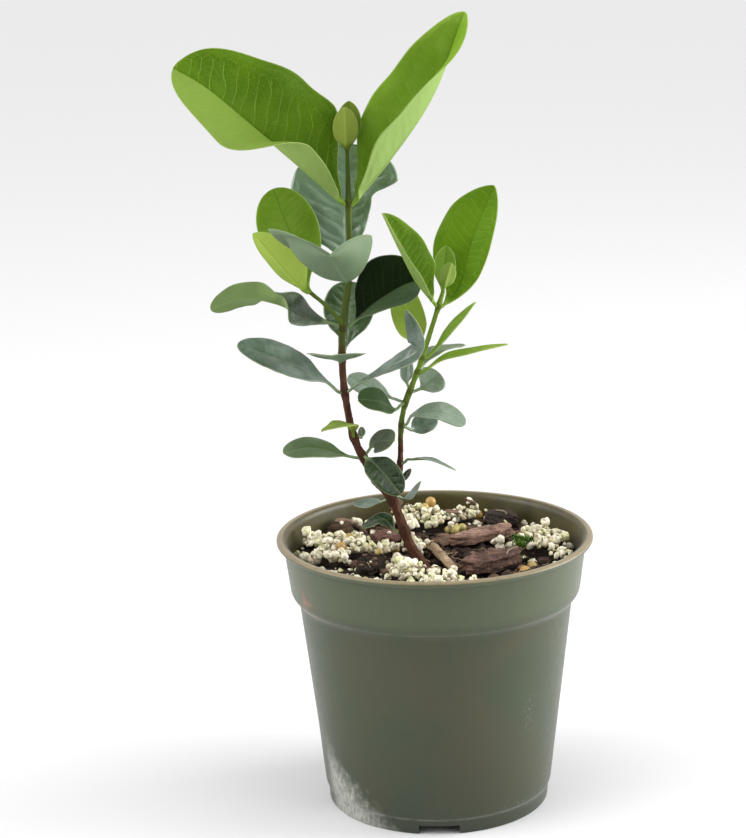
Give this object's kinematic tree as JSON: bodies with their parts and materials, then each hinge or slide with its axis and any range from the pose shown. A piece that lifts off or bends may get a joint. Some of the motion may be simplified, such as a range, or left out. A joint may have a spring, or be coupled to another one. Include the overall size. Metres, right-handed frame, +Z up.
{
  "type": "potted guava plant",
  "caption": "Young guava shrub with two leafy woody stems, growing in potting mix with perlite and bark in a round tapered green plastic nursery pot.",
  "frame": {"origin": "centre of the pot's underside, on the surface the pot stands on", "axes": "+Z up along the pot's axis; +X to the right and +Y away from the viewer as pictured"},
  "size_m": [0.1442, 0.1142, 0.2851],
  "materials": {
    "pot_plastic": "matte",
    "potting_mix": "matte",
    "stem_bark": "matte",
    "bark_chips": "matte",
    "pale_wood": "matte",
    "perlite": "matte",
    "fertiliser_beads": "satin",
    "leaf_young": "satin",
    "leaf_mature": "satin",
    "leaf_old": "satin",
    "leaf_blue": "satin",
    "leaf_bud": "satin"
  },
  "bodies": {
    "root": {"bark_back": "bark_chips", "bark_clump": "bark_chips", "bark_front": "bark_chips", "bark_left": "bark_chips", "bark_red": "bark_chips", "bark_slab": "bark_chips", "bud_d_back": "leaf_bud", "bud_d_front": "leaf_bud", "bud_top_back": "leaf_bud", "bud_top_front": "leaf_bud", "leaf_0_front": "leaf_old", "leaf_0_left": "leaf_mature", "leaf_0_right": "leaf_old", "leaf_1_back": "leaf_old", "leaf_1_front": "leaf_bud", "leaf_2_left": "leaf_blue", "leaf_2_right": "leaf_blue", "leaf_3_back": "leaf_old", "leaf_3_front": "leaf_mature", "leaf_4_left": "leaf_mature", "leaf_4_right": "leaf_old", "leaf_a_back": "leaf_blue", "leaf_a_right": "leaf_mature", "leaf_b_back": "leaf_blue", "leaf_b_left": "leaf_mature", "leaf_b_left_back": "leaf_blue", "leaf_b_right": "leaf_blue", "leaf_back_broad": "leaf_old", "leaf_branch_thin": "leaf_blue", "leaf_c_back": "leaf_mature", "leaf_c_left": "leaf_young", "leaf_c_right": "leaf_young", "leaf_c_upper": "leaf_young", "leaf_d_left": "leaf_young", "leaf_d_right": "leaf_young", "leaf_fork_left": "leaf_blue", "leaf_fork_right": "leaf_blue", "leaf_front_cupped": "leaf_old", "leaf_low_left": "leaf_old", "leaf_low_tiny": "leaf_old", "leaf_top_left": "leaf_young", "leaf_top_right": "leaf_young", "leaf_twig_back": "leaf_young", "leaf_twig_front": "leaf_young", "perlite_back": "perlite", "perlite_front": "perlite", "perlite_left": "perlite", "perlite_middle": "perlite", "perlite_right": "perlite", "pot": "pot_plastic", "potting_mix": "potting_mix", "prills_back": "fertiliser_beads", "prills_front": "fertiliser_beads", "prills_left": "fertiliser_beads", "wood_stick": "pale_wood", "woody_stem": "stem_bark"}
  },
  "joints": []
}
